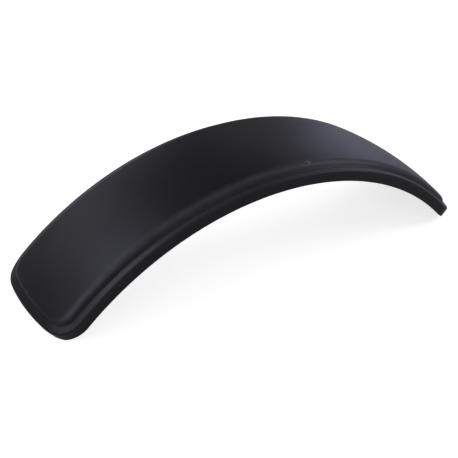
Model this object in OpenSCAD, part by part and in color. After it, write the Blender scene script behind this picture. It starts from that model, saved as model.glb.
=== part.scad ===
// Arched wheel mudguard, moulded in one piece from black rubber-like plastic.
// The crown is a slice of a sphere centred on the wheel's axle. A shoulder, a low wall, a ledge and a
// turned-down skirt run right round it, down both sides and round the rounded corners of both ends.
// Towards the ends the wall gets lower and the ledge wider.
// X runs along the wheel's travel, Y along the axle, Z up. The guard stands on its two end skirts.

/* [Arch] */
// Radius of the crown's outer face, measured from the wheel's axle
crown_r = 500; // [400:5:700]
// Angle that the guard covers, from end rim to end rim
wrap_deg = 100; // [70:1:120]
// Width over the two side rims
guard_w = 200; // [160:1:260]
// Wall thickness, the same all over
wall = 4; // [2.5:0.1:5]

/* [Edge profile] */
// Radius of the guard's four corners, in plan, at the rim
corner_r = 48; // [42:1:60]
// Drop from the crown to the ledge, along the sides
step_h = 8; // [6:0.5:12]
// Drop from the crown to the ledge, at the ends
end_step_h = 3; // [3:0.5:6]
// Outer radius of the shoulder between crown and side wall
shoulder_r = 15; // [9:0.5:18]
// Lean of the side wall, away from the crown's normal
wall_lean = 45; // [35:1:50]
// Outer radius of the crease where the side wall meets the ledge
crease_r = 1.5; // [0.5:0.1:2]
// Width of the ledge along the sides, from the crease to the rim
ledge_w = 10.5; // [8:0.5:13]
// Width of the ledge at the ends
end_ledge_w = 15; // [9:0.5:18]
// Outer radius of the rim, where the ledge turns down into the skirt
rim_r = 4; // [2:0.5:6]
// Height of the skirt, from the ledge to its bottom edge
skirt_h = 18; // [10:0.5:24]

/* [Hidden] */

// Steps along each side, round each corner, and across the width at each end and over the crown
side_steps = 40;
corner_steps = 6;
cross_steps = 8;
// Steps round the shoulder, the crease and the rim in section
shoulder_steps = 5;
crease_steps = 2;
rim_steps = 3;
// Smallest radius inside a corner whose outer radius is no more than the wall
min_r = 0.4;
// Shortest straight run of the side wall between shoulder and crease
min_run = 0.5;

// Distances of the crease and of the rim from the shoulder's start, along the crown's tangent
crease_reach = tan((90 - wall_lean) / 2);
edge_w = crease_x(step_h) + ledge_w;
end_edge_w = crease_x(end_step_h) + end_ledge_w;
// Angles that the edge takes up at a side and at an end, seen from the axle's middle
edge_deg = atan(edge_w / (crown_r - step_h));
end_edge_deg = atan(end_edge_w / (crown_r - end_step_h));
// Latitude of the sides, and angle from the top of the ends, where the crown meets the shoulder
side_deg = asin(guard_w / 2 / norm([crown_r - step_h, edge_w])) - edge_deg;
end_deg = wrap_deg / 2 - end_edge_deg;

// Angular radius of the crown's corners, and the place of a corner's centre on the crown
core_deg = asin((corner_r - edge_w) / crown_r);
corner_lat = side_deg - core_deg;
corner_polar = end_deg - core_deg;
// Half sweep of an end about the vertical, half sweep of a side about the axle, and a corner's sweep
end_sweep = asin(sin(corner_lat) / sin(corner_polar));
side_sweep = atan(tan(corner_polar) * cos(end_sweep));
corner_sweep = acos(tan(corner_lat) / tan(corner_polar));

// The skirt's draft, at which the side skirts stand square to the axle
skirt_draft = side_deg;
// The skirt's outer bottom corner in section at an end, on which the guard stands
foot = on_line(skirt_reach(1), skirt_draft, -end_step_h - skirt_h);
// Height of the axle's middle above the floor
axle_z = foot[0] * sin(end_deg) - (crown_r + foot[1]) * cos(end_deg);

// The point at height y on a line whose normal leans by lean and that lies at distance reach
function on_line(reach, lean, y) = [(reach - y * sin(lean)) / cos(lean), y];

// The shoulder's radius, limited by the height of the wall below it, and the side wall's line in
// section, by its distance along its normal from the shoulder's start
function shoulder(step) =
    let (room = step - (crease_r * crease_reach + min_run) * cos(wall_lean))
    min(shoulder_r, room / (1 - sin(wall_lean)));
function wall_reach(step) = shoulder(step) * (1 - sin(wall_lean));
function crease_x(step) = on_line(wall_reach(step), wall_lean, -step)[0];

// The drop, the rim's distance and the skirt's line in section, from a side at 0 to an end at 1
function step_at(endness) = step_h + (end_step_h - step_h) * endness;
function rim_x(endness) =
    crease_x(step_at(endness)) + ledge_w + (end_ledge_w - ledge_w) * endness;
function skirt_reach(endness) =
    [rim_x(endness), -step_at(endness)] * [cos(skirt_draft), sin(skirt_draft)];

// Points along an arc
function arc(centre, r, from_deg, to_deg, steps) = [
    for (i = [0 : steps])
        let (t = from_deg + (to_deg - from_deg) * i / steps)
            centre + r * [cos(t), sin(t)]
];

// One face of the edge in section, at a depth below the outer face, from the crown to the skirt's bottom.
// x runs outward along the crown's tangent, y along its normal.
function edge_face(depth, endness) =
    let (
        step = step_at(endness),
        bend = shoulder(step),
        ledge_y = -step - depth,
        crease = crease_r + depth,
        rim = max(rim_r - depth, min_r),
        reach = skirt_reach(endness) - depth
    )
    concat(
        arc([0, -bend], bend - depth, 90, wall_lean, shoulder_steps),
        arc(
            on_line(wall_reach(step) - depth + crease, wall_lean, ledge_y + crease),
            crease, 180 + wall_lean, 270, crease_steps
        ),
        arc(on_line(reach - rim, skirt_draft, ledge_y - rim), rim, 90, skirt_draft, rim_steps),
        [on_line(reach, skirt_draft, -step - skirt_h)]
    );

// The whole edge in section: down its outer face and back up its inner face
function edge_section(endness) =
    let (inner = edge_face(wall, endness))
    concat(edge_face(0, endness), [for (i = [len(inner) - 1 : -1 : 0]) inner[i]]);

// Stations round the guard, each a direction from the axle's middle to the crown's border, the
// outward direction along the crown there, and 0 on a side up to 1 on an end
function end_station(turn) = [
    [sin(end_deg) * cos(turn), sin(end_deg) * sin(turn), cos(end_deg)],
    [cos(end_deg) * cos(turn), cos(end_deg) * sin(turn), -sin(end_deg)],
    1
];

function side_station(turn) = [
    [cos(side_deg) * sin(turn), -sin(side_deg), cos(side_deg) * cos(turn)],
    [-sin(side_deg) * sin(turn), -cos(side_deg), -sin(side_deg) * cos(turn)],
    0
];

function corner_station(share) =
    let (
        turn = corner_sweep * share,
        centre = [
            sin(corner_polar) * cos(end_sweep), -sin(corner_polar) * sin(end_sweep), cos(corner_polar)
        ],
        endward = [
            cos(corner_polar) * cos(end_sweep), -cos(corner_polar) * sin(end_sweep), -sin(corner_polar)
        ],
        round = [sin(end_sweep), cos(end_sweep), 0],
        out = cos(turn) * endward - sin(turn) * round
    )
    [
        cos(core_deg) * centre + sin(core_deg) * out,
        cos(core_deg) * out - sin(core_deg) * centre,
        (1 + cos(180 * share)) / 2
    ];

// A station mirrored by a factor of -1 along X or Y
function mirrored(station, x, y) = [
    for (v = [station[0], station[1]]) [v[0] * x, v[1] * y, v[2]],
    station[2]
];

// Half of the way round: the right end, its near corner, the near side and the left near corner
half_way = concat(
    [for (i = [0 : cross_steps]) end_station(end_sweep * (1 - 2 * i / cross_steps))],
    [for (i = [1 : corner_steps]) corner_station(i / corner_steps)],
    [for (i = [1 : side_steps]) side_station(side_sweep * (1 - 2 * i / side_steps))],
    [for (i = [corner_steps - 1 : -1 : 1]) mirrored(corner_station(i / corner_steps), -1, 1)]
);
stations = concat(half_way, [for (s = half_way) mirrored(s, -1, -1)]);

// The lines across the crown run between these stations of the near side and their far partners
across_count = side_steps + 2 * corner_steps;
ring_points = [
    for (s = stations)
        for (p = edge_section(s[2]))
            (crown_r + p[1]) * s[0] + p[0] * s[1]
];
function crown_points(r) = [
    for (i = [0 : across_count])
        for (k = [1 : cross_steps - 1])
            let (
                dir = stations[cross_steps + i][0],
                y = dir[1] * (1 - 2 * k / cross_steps),
                spread = sqrt((1 - y * y) / (1 - dir[1] * dir[1]))
            )
            r * [dir[0] * spread, y, dir[2] * spread]
];

// Indices of the points: on the edge, and on a line across the crown's outer or inner face
section_count = len(edge_section(0));
outer_face = 0;
inner_face_start = section_count - 1;
function ring(i, j) = (i % len(stations)) * section_count + j;
function across(i, k, face) =
    k == 0 ? ring(cross_steps + i, face)
    : k == cross_steps ? ring(len(stations) - i, face)
    : len(ring_points) + ((face == outer_face ? 0 : across_count + 1) + i) * (cross_steps - 1) + k - 1;

// A four-sided patch as triangles, without those that have no area
function patch(a, b, c, d) = [
    for (t = [[a, b, c], [a, c, d]])
        if (t[0] != t[1] && t[1] != t[2] && t[2] != t[0]) t
];

// The patches of the crown's outer or inner face, with those between its end lines and the ends
function crown_patches(face) = [
    for (k = [0 : cross_steps - 1])
        for (t = concat(
            patch(
                ring(cross_steps - k, face), across(0, k, face),
                across(0, k + 1, face), ring(cross_steps - k - 1, face)
            ),
            [
                for (i = [0 : across_count - 1])
                    each patch(
                        across(i, k, face), across(i + 1, k, face),
                        across(i + 1, k + 1, face), across(i, k + 1, face)
                    )
            ],
            patch(
                across(across_count, k, face), ring(cross_steps + across_count + k, face),
                ring(cross_steps + across_count + k + 1, face), across(across_count, k + 1, face)
            )
        )) t
];

edge_patches = [
    for (i = [0 : len(stations) - 1])
        for (j = [0 : section_count - 2])
            each patch(ring(i, j), ring(i, j + 1), ring(i + 1, j + 1), ring(i + 1, j))
];

module mudguard() {
    color([0.17, 0.17, 0.19])
        translate([0, 0, axle_z])
            polyhedron(
                points = concat(ring_points, crown_points(crown_r), crown_points(crown_r - wall)),
                faces = concat(
                    edge_patches,
                    crown_patches(outer_face),
                    [for (t = crown_patches(inner_face_start)) [t[2], t[1], t[0]]]
                )
            );
}

mudguard();
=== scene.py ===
"""Looks of the arched wheel mudguard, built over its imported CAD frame.

The guard is one moulding, so it is one mesh: a slice of a sphere for the crown, with one edge
section swept round its sides, its corners and its ends. The mesh follows the CAD part's own sizes
and is finer and smoother. The guard's lengths are in millimetres in its classes and in metres in
the scene. X runs along the wheel's travel, Y along the axle, Z up, and the guard stands on Z = 0.
"""

from __future__ import annotations

import logging
import math
from dataclasses import dataclass, field
from enum import Enum
from functools import cached_property
from typing import Any

import bpy
import numpy as np
from mathutils import Matrix, Vector

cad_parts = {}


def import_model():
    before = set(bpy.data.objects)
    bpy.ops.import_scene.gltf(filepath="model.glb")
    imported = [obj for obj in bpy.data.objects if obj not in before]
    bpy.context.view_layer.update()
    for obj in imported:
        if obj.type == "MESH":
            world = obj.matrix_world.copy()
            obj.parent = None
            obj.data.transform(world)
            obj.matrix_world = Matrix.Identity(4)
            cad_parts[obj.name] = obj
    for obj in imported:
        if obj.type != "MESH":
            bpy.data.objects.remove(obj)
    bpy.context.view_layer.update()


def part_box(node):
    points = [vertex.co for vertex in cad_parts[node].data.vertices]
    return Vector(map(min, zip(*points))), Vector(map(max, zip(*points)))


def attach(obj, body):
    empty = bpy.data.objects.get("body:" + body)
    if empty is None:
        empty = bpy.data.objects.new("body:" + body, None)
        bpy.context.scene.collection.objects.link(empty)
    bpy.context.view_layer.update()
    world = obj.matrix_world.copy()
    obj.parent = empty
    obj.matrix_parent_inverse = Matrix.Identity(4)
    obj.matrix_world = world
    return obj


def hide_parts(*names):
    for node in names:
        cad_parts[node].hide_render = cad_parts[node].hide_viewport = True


LOG = logging.getLogger("mudguard_scene")
MM = 0.001
WHITE = "#ffffff"
# Blender's mix node has its colour sockets at these places.
MIX_SHARE, MIX_UNDER, MIX_OVER, MIX_RESULT = 0, 6, 7, 2


class Skin(Enum):
    """The two faces of the moulding."""

    OUTER = 0
    INNER = 1


class Trace(Enum):
    """Values stored on the mesh's points for the finish to read."""

    # Painted highlight: a paler colour along the shoulders and ledges that stands in for light on
    # them.
    PAINTED_HIGHLIGHT = "painted_highlight"
    INSIDE = "inside"


def unit(angle_deg: float) -> np.ndarray:
    """Gives the direction at an angle in the section's plane.

    Args:
        angle_deg: Angle from the section's x axis, in degrees.

    Returns:
        The direction as two numbers.
    """
    angle = math.radians(angle_deg)
    return np.array([math.cos(angle), math.sin(angle)])


def on_line(reach: float, lean: float, y: float) -> np.ndarray:
    """Finds a point on a leaning line.

    Args:
        reach: The line's distance from the origin.
        lean: The angle of its normal from the x axis, in degrees.
        y: The point's height.

    Returns:
        The point.
    """
    normal = unit(lean)
    return np.array([(reach - y * normal[1]) / normal[0], y])


def linear(hex_colour: str) -> tuple[float, float, float, float]:
    """Turns an sRGB colour into the linear one that shaders take.

    Args:
        hex_colour: The colour as "#rrggbb".

    Returns:
        Linear red, green and blue, and an alpha of 1.
    """
    parts = [int(hex_colour[i : i + 2], 16) / 255 for i in (1, 3, 5)]
    rgb = [c / 12.92 if c <= 0.04045 else ((c + 0.055) / 1.055) ** 2.4 for c in parts]
    return (rgb[0], rgb[1], rgb[2], 1.0)


def add_node(
    tree: bpy.types.NodeTree,
    kind: str,
    settings: dict[Any, Any] | None = None,
    links: dict[Any, Any] | None = None,
) -> bpy.types.Node:
    """Adds a shader node with its settings and its incoming links.

    Args:
        tree: The node tree to add to.
        kind: The node's type name.
        settings: Attribute names, or socket names and numbers, and their values.
        links: Input socket names or numbers, and the output sockets that feed them.

    Returns:
        The new node.
    """
    node = tree.nodes.new(kind)
    for key, value in (settings or {}).items():
        if isinstance(key, str) and hasattr(node, key):
            setattr(node, key, value)
        else:
            node.inputs[key].default_value = value
    for key, source in (links or {}).items():
        tree.links.new(source, node.inputs[key])
    return node


def new_tree(name: str) -> tuple[bpy.types.Material, bpy.types.NodeTree]:
    """Starts a material with an empty node tree.

    Args:
        name: The material's name.

    Returns:
        The material and its node tree.
    """
    material = bpy.data.materials.new(name)
    material.use_nodes = True
    material.node_tree.nodes.clear()
    return material, material.node_tree


@dataclass(frozen=True)
class EdgeSection:
    """The moulded edge in section, in mm: x outward along the crown, y along its normal.

    Its drop and its ledge change from a side, at endness 0, to an end, at endness 1.
    """

    wall: float = 4.0
    # Drop from the crown to the ledge, and the ledge's width, each at a side and at an end.
    step_h: tuple[float, float] = (8.0, 3.0)
    ledge_w: tuple[float, float] = (10.5, 15.0)
    # Outer radii of the shoulder, the crease and the rim, and the side wall's lean in degrees.
    shoulder_r: float = 15.0
    wall_lean: float = 45.0
    crease_r: float = 1.5
    rim_r: float = 4.0
    skirt_h: float = 18.0
    # Rounding of the skirt's lower edge, which the CAD part leaves sharp.
    lip_r: float = 0.7
    # Smallest inner radius, and shortest straight run between shoulder and crease.
    min_r: float = 0.4
    min_run: float = 0.5
    # Steps round shoulder, crease, rim and lip, and along the straight runs between them.
    arc_steps: tuple[int, ...] = (12, 4, 7, 5)
    run_steps: tuple[int, ...] = (2, 6, 9)

    def step(self, endness: float) -> float:
        """Gives the drop from the crown to the ledge.

        Args:
            endness: 0 on a side up to 1 on an end.

        Returns:
            The drop in mm.
        """
        return self.step_h[0] + (self.step_h[1] - self.step_h[0]) * endness

    def shoulder(self, endness: float) -> float:
        """Gives the shoulder's radius, limited by the height of the wall below it.

        Args:
            endness: 0 on a side up to 1 on an end.

        Returns:
            The radius in mm.
        """
        reach = math.tan(math.radians((90 - self.wall_lean) / 2))
        normal = unit(self.wall_lean)
        room = self.step(endness) - (self.crease_r * reach + self.min_run) * normal[0]
        return min(self.shoulder_r, room / (1 - normal[1]))

    def wall_reach(self, endness: float) -> float:
        """Gives the side wall's distance from the shoulder's start, along its normal.

        Args:
            endness: 0 on a side up to 1 on an end.

        Returns:
            The distance in mm.
        """
        return self.shoulder(endness) * (1 - unit(self.wall_lean)[1])

    def rim(self, endness: float) -> np.ndarray:
        """Finds where the ledge would meet the skirt without the rim's radius.

        Args:
            endness: 0 on a side up to 1 on an end.

        Returns:
            The point.
        """
        drop = -self.step(endness)
        crease = on_line(self.wall_reach(endness), self.wall_lean, drop)
        ledge = self.ledge_w[0] + (self.ledge_w[1] - self.ledge_w[0]) * endness
        return crease + np.array([ledge, 0.0])

    def skirt_reach(self, endness: float, draft: float) -> float:
        """Gives the skirt's distance from the shoulder's start, along its normal.

        Args:
            endness: 0 on a side up to 1 on an end.
            draft: The skirt's draft, in degrees.

        Returns:
            The distance in mm.
        """
        return float(self.rim(endness) @ unit(draft))

    def face(self, skin: Skin, endness: float, draft: float) -> np.ndarray:
        """Draws one face of the edge, from the crown to the middle of the skirt's lip.

        Args:
            skin: The outer or the inner face.
            endness: 0 on a side up to 1 on an end.
            draft: The skirt's draft, in degrees.

        Returns:
            The face's points, as many at any endness.
        """
        depth = self.wall * skin.value
        side = 1 - 2 * skin.value
        lean = self.wall_lean
        bend = self.shoulder(endness)
        ledge_y = -self.step(endness) - depth
        crease = self.crease_r + depth
        rim = max(self.rim_r - depth, self.min_r)
        wall = self.wall_reach(endness) - depth + crease
        skirt = self.skirt_reach(endness, draft) - depth
        lip_y = -self.step(endness) - self.skirt_h + self.lip_r
        # The two faces meet at the lip's lowest point, and each turns its own way to it.
        lip_start = draft + 180 * skin.value
        lip_end = 270 if skin is Skin.INNER else -90
        arcs = (
            (np.array([0.0, -bend]), bend - depth, 90, lean),
            (on_line(wall, lean, ledge_y + crease), crease, 180 + lean, 270),
            (on_line(skirt - rim, draft, ledge_y - rim), rim, 90, draft),
            (on_line(skirt - side * self.lip_r, draft, lip_y), self.lip_r, lip_start, lip_end),
        )
        points: list[np.ndarray] = []
        for (centre, radius, start, end), steps, run in zip(
            arcs, self.arc_steps, (1, *self.run_steps)
        ):
            turn = [start + (end - start) * i / steps for i in range(steps + 1)]
            arc = [centre + radius * unit(angle) for angle in turn]
            if points:
                last = points[-1]
                points += [last + (arc[0] - last) * i / run for i in range(1, run)]
            points += arc
        return np.array(points)

    def ring(self, endness: float, draft: float) -> np.ndarray:
        """Draws the whole edge: down its outer face and back up its inner face.

        Args:
            endness: 0 on a side up to 1 on an end.
            draft: The skirt's draft, in degrees.

        Returns:
            The points.
        """
        outer, inner = (self.face(skin, endness, draft) for skin in Skin)
        return np.concatenate([outer, inner[::-1]])


@dataclass(frozen=True)
class Station:
    """One place round the crown's border, seen from the axle's middle."""

    place: np.ndarray
    outward: np.ndarray
    endness: float

    def mirrored(self, x: float, y: float) -> Station:
        """Mirrors the station in X and Y.

        Args:
            x: 1 or -1, the factor on X.
            y: 1 or -1, the factor on Y.

        Returns:
            The mirrored station.
        """
        factor = np.array([x, y, 1.0])
        return Station(self.place * factor, self.outward * factor, self.endness)


@dataclass(frozen=True)
class Mudguard:
    """The moulded guard, with its driving sizes in mm and degrees, as in the CAD part."""

    crown_r: float = 500.0
    wrap_deg: float = 100.0
    width: float = 200.0
    corner_r: float = 48.0
    edge: EdgeSection = field(default_factory=EdgeSection)
    # Steps along a side, round a corner, and across the width.
    side_steps: int = 170
    corner_steps: int = 22
    cross_steps: int = 36
    # How far the painted highlight, a paler colour standing in for light, reaches from the middle
    # of the shoulder and of the ledge, and how much of it the ledge gets.
    highlight_reach: float = 5.0
    ledge_highlight: float = 0.55

    @property
    def side_deg(self) -> float:
        """The latitude at which the crown meets the side shoulders."""
        reach, drop = self.edge.rim(0)
        rim = math.hypot(self.crown_r + drop, reach)
        edge_deg = math.degrees(math.atan(reach / (self.crown_r + drop)))
        return math.degrees(math.asin(self.width / 2 / rim)) - edge_deg

    @property
    def end_deg(self) -> float:
        """The angle from the top at which the crown meets the end shoulders."""
        reach, drop = self.edge.rim(1)
        return self.wrap_deg / 2 - math.degrees(math.atan(reach / (self.crown_r + drop)))

    @property
    def core_deg(self) -> float:
        """The angular radius of the crown's corners."""
        reach = self.corner_r - self.edge.rim(0)[0]
        return math.degrees(math.asin(reach / self.crown_r))

    @property
    def corner_lat(self) -> float:
        """The latitude of a corner's centre, in radians."""
        return math.radians(self.side_deg - self.core_deg)

    @property
    def corner_polar(self) -> float:
        """The angle of a corner's centre from the top, in radians."""
        return math.radians(self.end_deg - self.core_deg)

    @property
    def end_sweep(self) -> float:
        """Half of an end's sweep about the vertical, in radians."""
        return math.asin(math.sin(self.corner_lat) / math.sin(self.corner_polar))

    @property
    def side_sweep(self) -> float:
        """Half of a side's sweep about the axle, in radians."""
        return math.atan(math.tan(self.corner_polar) * math.cos(self.end_sweep))

    @property
    def corner_sweep(self) -> float:
        """The sweep of a corner about its own axis, in radians."""
        return math.acos(math.tan(self.corner_lat) / math.tan(self.corner_polar))

    @property
    def line_gaps(self) -> int:
        """The number of gaps between the lines across the crown."""
        return self.side_steps + 2 * self.corner_steps

    def end_station(self, turn: float) -> Station:
        """Gives a station on the right end, which turns about the vertical.

        Args:
            turn: Angle about the vertical, in radians.

        Returns:
            The station.
        """
        end = math.radians(self.end_deg)
        away = np.array([math.cos(turn), math.sin(turn), 0.0])
        up = np.array([0.0, 0.0, 1.0])
        place = math.sin(end) * away + math.cos(end) * up
        return Station(place, math.cos(end) * away - math.sin(end) * up, 1.0)

    def side_station(self, turn: float) -> Station:
        """Gives a station on the near side, which turns about the axle.

        Args:
            turn: Angle about the axle, in radians.

        Returns:
            The station.
        """
        side = math.radians(self.side_deg)
        away = np.array([math.sin(turn), 0.0, math.cos(turn)])
        near = np.array([0.0, -1.0, 0.0])
        place = math.cos(side) * away + math.sin(side) * near
        return Station(place, math.cos(side) * near - math.sin(side) * away, 0.0)

    def corner_station(self, share: float) -> Station:
        """Gives a station on the right near corner, which turns about its own axis.

        Args:
            share: Share of the corner's sweep, from the end's side.

        Returns:
            The station.
        """
        core, turn = math.radians(self.core_deg), self.corner_sweep * share
        away = np.array([math.cos(self.end_sweep), -math.sin(self.end_sweep), 0.0])
        up = np.array([0.0, 0.0, 1.0])
        centre = math.sin(self.corner_polar) * away + math.cos(self.corner_polar) * up
        endward = math.cos(self.corner_polar) * away - math.sin(self.corner_polar) * up
        sideways = np.array([math.sin(self.end_sweep), math.cos(self.end_sweep), 0.0])
        out = math.cos(turn) * endward - math.sin(turn) * sideways
        return Station(
            math.cos(core) * centre + math.sin(core) * out,
            math.cos(core) * out - math.sin(core) * centre,
            (1 + math.cos(math.pi * share)) / 2,
        )

    @cached_property
    def stations(self) -> list[Station]:
        """Lists the stations right round the guard, from the right end's far corner.

        Returns:
            The stations.
        """
        ends = [1 - 2 * i / self.cross_steps for i in range(self.cross_steps + 1)]
        sides = [1 - 2 * i / self.side_steps for i in range(1, self.side_steps + 1)]
        corner = [
            self.corner_station(i / self.corner_steps) for i in range(1, self.corner_steps + 1)
        ]
        half = [self.end_station(self.end_sweep * share) for share in ends] + corner
        half += [self.side_station(self.side_sweep * share) for share in sides]
        half += [station.mirrored(-1, 1) for station in reversed(corner[:-1])]
        return half + [station.mirrored(-1, -1) for station in half]

    def edge_points(self) -> np.ndarray:
        """Places the edge's points, station by station.

        Returns:
            The points, from the axle's middle.
        """
        rings = []
        for station in self.stations:
            section = self.edge.ring(station.endness, self.side_deg)
            rings.append(
                np.outer(self.crown_r + section[:, 1], station.place)
                + np.outer(section[:, 0], station.outward)
            )
        return np.concatenate(rings)

    def crown_points(self, skin: Skin) -> np.ndarray:
        """Places the points of the lines across the crown, without the lines' ends.

        Args:
            skin: The outer or the inner face.

        Returns:
            The points, line by line, from the axle's middle.
        """
        first = self.cross_steps
        borders = self.stations[first : first + self.line_gaps + 1]
        place = np.array([station.place for station in borders])[:, None, :]
        shares = 1 - 2 * np.arange(1, self.cross_steps) / self.cross_steps
        y = place[..., 1] * shares
        spread = np.sqrt((1 - y**2) / (1 - place[..., 1] ** 2))
        points = np.stack([place[..., 0] * spread, y, place[..., 2] * spread], axis=-1)
        return (self.crown_r - self.edge.wall * skin.value) * points.reshape(-1, 3)

    def faces(self, count: int) -> list[tuple[int, ...]]:
        """Joins the points: the edge's rings, then the crown's two faces.

        Args:
            count: The number of points in one ring of the edge.

        Returns:
            The faces, with their outer sides out.
        """
        total = len(self.stations)
        first, per_line = self.cross_steps, self.cross_steps - 1

        def ring(i: int, j: int) -> int:
            """Gives the number of point j in ring i, where the last ring meets the first."""
            return (i % total) * count + j

        quads = [
            (ring(i + 1, j), ring(i + 1, j + 1), ring(i, j + 1), ring(i, j))
            for i in range(total)
            for j in range(count - 1)
        ]
        for skin in Skin:
            j = (count - 1) * skin.value
            start = total * count + skin.value * (self.line_gaps + 1) * per_line
            grid = [[ring(i, j) for i in range(first, -1, -1)]]
            for i in range(self.line_gaps + 1):
                inner = range(start + i * per_line, start + (i + 1) * per_line)
                grid.append([ring(first + i, j), *inner, ring(total - i, j)])
            grid.append([ring(first + self.line_gaps + k, j) for k in range(first + 1)])
            for near, far in zip(grid, grid[1:]):
                for k in range(first):
                    quad = (near[k + 1], far[k + 1], far[k], near[k])
                    quads.append(quad if skin is Skin.OUTER else quad[::-1])
        unique = (tuple(dict.fromkeys(quad)) for quad in quads)
        return [face for face in unique if len(face) > 2]

    def traces(self) -> dict[Trace, np.ndarray]:
        """Works out what the finish needs to know at each point.

        Returns:
            The values of each trace, for every point of the mesh.
        """
        edge = self.edge
        section = edge.ring(0, self.side_deg)
        inside = np.repeat([0.0, 1.0], len(section) // 2)
        shoulder = edge.shoulder(0) * (unit((90 + edge.wall_lean) / 2) - [0, 1])
        ledge = edge.rim(0) - [edge.ledge_w[0] / 2, 0]
        # Painted highlight: a paler band on the outer face, centred on the shoulder and, weaker, on
        # the ledge.
        painted_highlight = np.zeros(len(section))
        for middle, share in ((shoulder, 1.0), (ledge, self.ledge_highlight)):
            away = np.linalg.norm(section - middle, axis=1) / self.highlight_reach
            painted_highlight += share * np.exp(-(away**2)) * (1 - inside)
        # The painted highlight fades round the corners and is gone on the ends.
        sideness = [1 - station.endness for station in self.stations]
        crown = np.repeat([0.0, 1.0], (self.line_gaps + 1) * (self.cross_steps - 1))
        return {
            Trace.PAINTED_HIGHLIGHT: np.r_[np.outer(sideness, painted_highlight).ravel(), np.zeros(len(crown))],
            Trace.INSIDE: np.r_[np.tile(inside, len(sideness)), crown],
        }

    def build(self, finish: MouldedRubber) -> bpy.types.Object:
        """Builds the guard's mesh, gives it its finish and puts it on the frame.

        Args:
            finish: The finish of the moulding.

        Returns:
            The guard.
        """
        points = np.concatenate(
            [self.edge_points(), *(self.crown_points(skin) for skin in Skin)]
        )
        # The finer steps end a hair off the frame's box, so the mesh is fitted to it.
        low, high = (np.array(corner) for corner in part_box("mudguard"))
        size = points.max(axis=0) - points.min(axis=0)
        points = low + (points - points.min(axis=0)) * (high - low) / size
        mesh = bpy.data.meshes.new("mudguard_shell")
        count = len(self.edge.ring(0, self.side_deg))
        mesh.from_pydata(points.tolist(), [], self.faces(count))
        mesh.polygons.foreach_set("use_smooth", np.ones(len(mesh.polygons), bool))
        for trace, values in self.traces().items():
            layer = mesh.attributes.new(trace.value, "FLOAT", "POINT")
            layer.data.foreach_set("value", values.astype(np.float32))
        mesh.update()
        guard = bpy.data.objects.new("mudguard_shell", mesh)
        bpy.context.scene.collection.objects.link(guard)
        mesh.materials.append(finish.material())
        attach(guard, "root")
        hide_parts("mudguard")
        return guard


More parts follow.
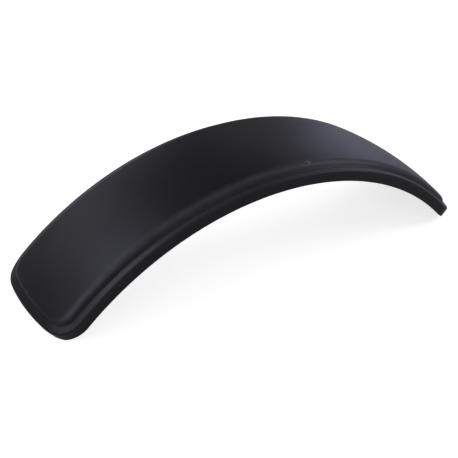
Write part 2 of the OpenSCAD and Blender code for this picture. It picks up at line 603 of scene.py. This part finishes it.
@dataclass(frozen=True)
class MouldedRubber:
    """Injection-moulded black thermoplastic rubber, satin from a finely grained steel mould.

    The eye gets a near-black body under a soft, broad, faintly bluish sheen. The sheen wavers where
    the skin shrank unevenly, a painted highlight makes the shoulders and ledges paler than the
    crown, and the inner face is duller, because it lay against the plainer half of the mould.
    """

    colour: str = "#131316"
    cloud: str = "#19191d"
    # Paler colour painted along the shoulders and ledges as a highlight.
    painted_highlight_colour: str = "#3c3c42"
    scuffed: str = "#a9a9ae"
    sheen: str = "#e9ebff"
    ior: float = 1.49
    # Fine pores swallow about half of the mirrored light that this index alone would give back.
    shine: float = 0.25
    roughness: float = 0.42
    roughness_drift: float = 0.04
    inner_dulling: float = 0.12
    # Sizes of the patterns: the sheen's clouds, the patches of the painted highlight and the slow
    # ripple.
    cloud_mm: float = 70.0
    highlight_patch_mm: float = 18.0
    # How strongly the painted highlight pales the colour.
    highlight_share: float = 0.8
    ripple_mm: float = 24.0
    ripple_depth_mm: float = 0.12
    # A real grain is about 0.3 mm. That is finer than a pixel here, so it is drawn coarser.
    grain_mm: float = 1.6
    grain_depth_mm: float = 0.02
    # Middle and half sizes of the scuff, the shares of these between which it fades in, the size
    # of its streaks, and the pattern's values between which a streak shows.
    scuff_at_mm: tuple[float, float, float] = (50.3, -81.7, 185.2)
    scuff_mm: tuple[float, float, float] = (9.0, 4.0, 4.0)
    scuff_fade: tuple[float, float] = (1.0, 0.4)
    streak_mm: float = 4.0
    streak_fade: tuple[float, float] = (0.45, 0.6)
    # Finer layers in every pattern, and the strength of each next to the one before.
    layers: float = 3.0
    layer_fade: float = 0.55

    def scuff(
        self,
        tree: bpy.types.NodeTree,
        place: bpy.types.NodeSocket,
        streaks: bpy.types.NodeSocket,
    ) -> bpy.types.NodeSocket:
        """Works out where the small pale scuff on the near shoulder lies.

        Args:
            tree: The node tree to add to.
            place: The socket with the point's place, in metres.
            streaks: The socket with the pattern that breaks the scuff into streaks.

        Returns:
            The socket with the scuff's share, from 0 to 1.
        """
        to_scuff = {
            "Location": [-at / half for at, half in zip(self.scuff_at_mm, self.scuff_mm)],
            "Scale": [1 / (half * MM) for half in self.scuff_mm],
        }
        away = add_node(tree, "ShaderNodeMapping", to_scuff, {"Vector": place})
        length = add_node(
            tree, "ShaderNodeVectorMath", {"operation": "LENGTH"}, {0: away.outputs[0]}
        )
        fades = ((length.outputs["Value"], self.scuff_fade), (streaks, self.streak_fade))
        shares = [
            add_node(
                tree,
                "ShaderNodeMapRange",
                {"From Min": start, "From Max": end},
                {"Value": value},
            ).outputs[0]
            for value, (start, end) in fades
        ]
        both = add_node(
            tree, "ShaderNodeMath", {"operation": "MULTIPLY"}, dict(enumerate(shares))
        )
        return both.outputs[0]

    def material(self) -> bpy.types.Material:
        """Builds the finish.

        Returns:
            The material.
        """
        material, tree = new_tree("moulded_rubber")
        place = add_node(tree, "ShaderNodeTexCoord").outputs["Object"]
        layering = {"Detail": self.layers, "Roughness": self.layer_fade}
        cloud, highlight_patches, ripple, grain, streaks = (
            add_node(
                tree,
                "ShaderNodeTexNoise",
                layering | {"Scale": 1 / (size_mm * MM)},
                {"Vector": place},
            ).outputs["Fac"]
            for size_mm in (
                self.cloud_mm,
                self.highlight_patch_mm,
                self.ripple_mm,
                self.grain_mm,
                self.streak_mm,
            )
        )
        painted_highlight, inside = (
            add_node(
                tree, "ShaderNodeAttribute", {"attribute_name": trace.value}
            ).outputs["Fac"]
            for trace in (Trace.PAINTED_HIGHLIGHT, Trace.INSIDE)
        )
        # The pattern is 0.5 on average, so the painted highlight keeps its share on average.
        patchy_highlight = add_node(
            tree,
            "ShaderNodeMath",
            {"operation": "MULTIPLY_ADD", 1: self.highlight_share, 2: self.highlight_share / 2},
            {0: highlight_patches},
        )
        painted_highlight_share = add_node(
            tree, "ShaderNodeMath", {"operation": "MULTIPLY"}, {0: painted_highlight, 1: patchy_highlight.outputs[0]}
        )
        # The body colour gets its random clouds, the painted highlight along shoulders and ledges,
        # and the scuff.
        body: dict[int, bpy.types.NodeSocket] = {}
        for colour, share in (
            (self.cloud, cloud),
            (self.painted_highlight_colour, painted_highlight_share.outputs[0]),
            (self.scuffed, self.scuff(tree, place, streaks)),
        ):
            colours = {MIX_UNDER: linear(self.colour), MIX_OVER: linear(colour)}
            mix = add_node(
                tree,
                "ShaderNodeMix",
                {"data_type": "RGBA"} | colours,
                {MIX_SHARE: share} | body,
            )
            body = {MIX_UNDER: mix.outputs[MIX_RESULT]}
        normal: dict[str, bpy.types.NodeSocket] = {}
        for height, depth_mm in (
            (ripple, self.ripple_depth_mm),
            (grain, self.grain_depth_mm),
        ):
            bump = add_node(
                tree,
                "ShaderNodeBump",
                {"Distance": depth_mm * MM},
                {"Height": height} | normal,
            )
            normal = {"Normal": bump.outputs[0]}
        drift = add_node(
            tree,
            "ShaderNodeMapRange",
            {
                "To Min": self.roughness - self.roughness_drift,
                "To Max": self.roughness + self.roughness_drift,
            },
            {"Value": cloud},
        )
        rough = add_node(
            tree,
            "ShaderNodeMath",
            {"operation": "MULTIPLY_ADD", 1: self.inner_dulling},
            {0: inside, 2: drift.outputs[0]},
        )
        shader = add_node(
            tree,
            "ShaderNodeBsdfPrincipled",
            {
                "IOR": self.ior,
                "Specular IOR Level": self.shine,
                "Specular Tint": linear(self.sheen),
            },
            {"Base Color": body[MIX_UNDER], "Roughness": rough.outputs[0]} | normal,
        )
        add_node(tree, "ShaderNodeOutputMaterial", links={"Surface": shader.outputs[0]})
        return material


@dataclass(frozen=True)
class PaperSweep:
    """Matt white backdrop paper, calendered without a coating.

    The eye gets a plain pale ground without sheen, which takes the guard's soft shadow.
    """

    colour: str = "#d8d8d8"
    # What the camera alone sees on top of the lit paper, so that it comes out white.
    lift: float = 0.75

    def material(self) -> bpy.types.Material:
        """Builds the finish.

        Returns:
            The material.
        """
        material, tree = new_tree("paper_sweep")
        paper = add_node(tree, "ShaderNodeBsdfDiffuse", {"Color": linear(self.colour)})
        path = add_node(tree, "ShaderNodeLightPath")
        lift = add_node(
            tree,
            "ShaderNodeMath",
            {"operation": "MULTIPLY", 1: self.lift},
            {0: path.outputs["Is Camera Ray"]},
        )
        glow = add_node(tree, "ShaderNodeEmission", links={"Strength": lift.outputs[0]})
        both = add_node(
            tree, "ShaderNodeAddShader", links={0: paper.outputs[0], 1: glow.outputs[0]}
        )
        add_node(tree, "ShaderNodeOutputMaterial", links={"Surface": both.outputs[0]})
        return material


@dataclass(frozen=True)
class Softbox:
    """A square studio light that faces the guard.

    Its bearing is in degrees from the guard's far side, its power in watts, its lengths in metres.
    """

    name: str
    azimuth: float
    elevation: float
    power: float
    colour: str = "#fafaff"
    distance: float = 2.6
    size: float = 1.2

    def build(self, aim: Vector) -> bpy.types.Object:
        """Builds the light.

        Args:
            aim: The point that the light faces, in metres.

        Returns:
            The light.
        """
        data = bpy.data.lights.new(self.name, "AREA")
        data.shape = "SQUARE"
        data.size = self.size
        data.energy = self.power
        data.color = linear(self.colour)[:3]
        light = bpy.data.objects.new(self.name, data)
        turn, rise = math.radians(self.azimuth), math.radians(self.elevation)
        level = math.cos(rise)
        away = Vector((math.sin(turn) * level, math.cos(turn) * level, math.sin(rise)))
        light.location = aim + away * self.distance
        light.rotation_euler = (-away).to_track_quat("-Z", "Y").to_euler()
        bpy.context.scene.collection.objects.link(light)
        return light


@dataclass(frozen=True)
class Studio:
    """The pale floor, the soft lights and the even light of the room, with lengths in metres."""

    floor_size: float = 4.0
    floor: PaperSweep = field(default_factory=PaperSweep)
    room_strength: float = 0.14
    aim: tuple[float, float, float] = (0.0, 0.0, 0.1)
    lights: tuple[Softbox, ...] = (
        Softbox("front_left", 240, 30, 7.5),
        Softbox("left", 270, 30, 11.0),
        Softbox("left_back", 300, 48, 17.0),
        Softbox("back", 330, 30, 6.0),
        Softbox("back_low", 0, 12, 3.6, "#e4e6ff"),
        Softbox("right_low", 60, 12, 5.6, "#dadcff"),
        Softbox("right_front", 115, 30, 19.0),
        Softbox("front", 180, 30, 6.0),
        Softbox("back_right", 40, 30, 1.2),
        Softbox("right_mid", 68, 34, 2.2),
    )

    def build_floor(self) -> bpy.types.Object:
        """Builds the floor, which is plain and pale and takes the guard's shadow.

        Returns:
            The floor.
        """
        half = self.floor_size / 2
        mesh = bpy.data.meshes.new("floor")
        sheet = [(-half, -half, 0), (half, -half, 0), (half, half, 0), (-half, half, 0)]
        mesh.from_pydata(sheet, [], [(0, 1, 2, 3)])
        floor = bpy.data.objects.new("floor", mesh)
        bpy.context.scene.collection.objects.link(floor)
        mesh.materials.append(self.floor.material())
        return floor

    def build_room(self) -> None:
        """Fills the room with even light, pure white where the camera sees it."""
        world = bpy.data.worlds.new("studio_room")
        world.use_nodes = True
        bpy.context.scene.world = world
        tree = world.node_tree
        tree.nodes.clear()
        path = add_node(tree, "ShaderNodeLightPath")
        seen = add_node(tree, "ShaderNodeBackground", {"Color": linear(WHITE)})
        even = add_node(
            tree,
            "ShaderNodeBackground",
            {"Color": linear(WHITE), "Strength": self.room_strength},
        )
        mix = add_node(
            tree,
            "ShaderNodeMixShader",
            links={
                0: path.outputs["Is Camera Ray"],
                1: even.outputs[0],
                2: seen.outputs[0],
            },
        )
        add_node(tree, "ShaderNodeOutputWorld", links={"Surface": mix.outputs[0]})

    def build(self) -> list[bpy.types.Object]:
        """Builds the floor, the room and the lights.

        Returns:
            The floor and the lights.
        """
        self.build_room()
        aim = Vector(self.aim)
        return [self.build_floor(), *(light.build(aim) for light in self.lights)]


@dataclass(frozen=True)
class PhotoCamera:
    """The photograph's camera, matched to the guard's outline and edge lines.

    Its angles are in degrees, and its lens, its sensor and its place in mm.
    """

    azimuth: float = 34.46
    elevation: float = 32.907
    roll: float = 3.674
    distance_mm: float = 1625.73
    lens: float = 80.317
    sensor: float = 36.0
    target_mm: tuple[float, float, float] = (-30.846, 0.0, 42.887)

    def build(self) -> bpy.types.Object:
        """Builds the camera and makes it the scene's own.

        Returns:
            The camera.
        """
        turn, down = math.radians(self.azimuth), math.radians(self.elevation)
        level = math.cos(down)
        ahead = Vector((math.sin(turn) * level, math.cos(turn) * level, -math.sin(down)))
        across = Vector((math.cos(turn), -math.sin(turn), 0.0))
        upright = across.cross(ahead)
        roll = math.radians(self.roll)
        right = math.cos(roll) * across + math.sin(roll) * upright
        up = math.cos(roll) * upright - math.sin(roll) * across
        data = bpy.data.cameras.new("photo_camera")
        data.lens = self.lens
        data.sensor_width = self.sensor
        camera = bpy.data.objects.new("photo_camera", data)
        place = (Vector(self.target_mm) - ahead * self.distance_mm) * MM
        axes = Matrix((right, up, -ahead)).transposed().to_4x4()
        camera.matrix_world = Matrix.Translation(place) @ axes
        bpy.context.scene.collection.objects.link(camera)
        bpy.context.scene.camera = camera
        return camera


def main() -> None:
    """Builds the guard, the studio and the camera in order."""
    logging.basicConfig(level=logging.INFO)
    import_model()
    guard = Mudguard().build(MouldedRubber())
    for piece in (guard, *Studio().build(), PhotoCamera().build()):
        LOG.info("%s is in place", piece.name)
    bpy.context.scene.view_settings.view_transform = "Standard"


if __name__ == "__main__":
    main()
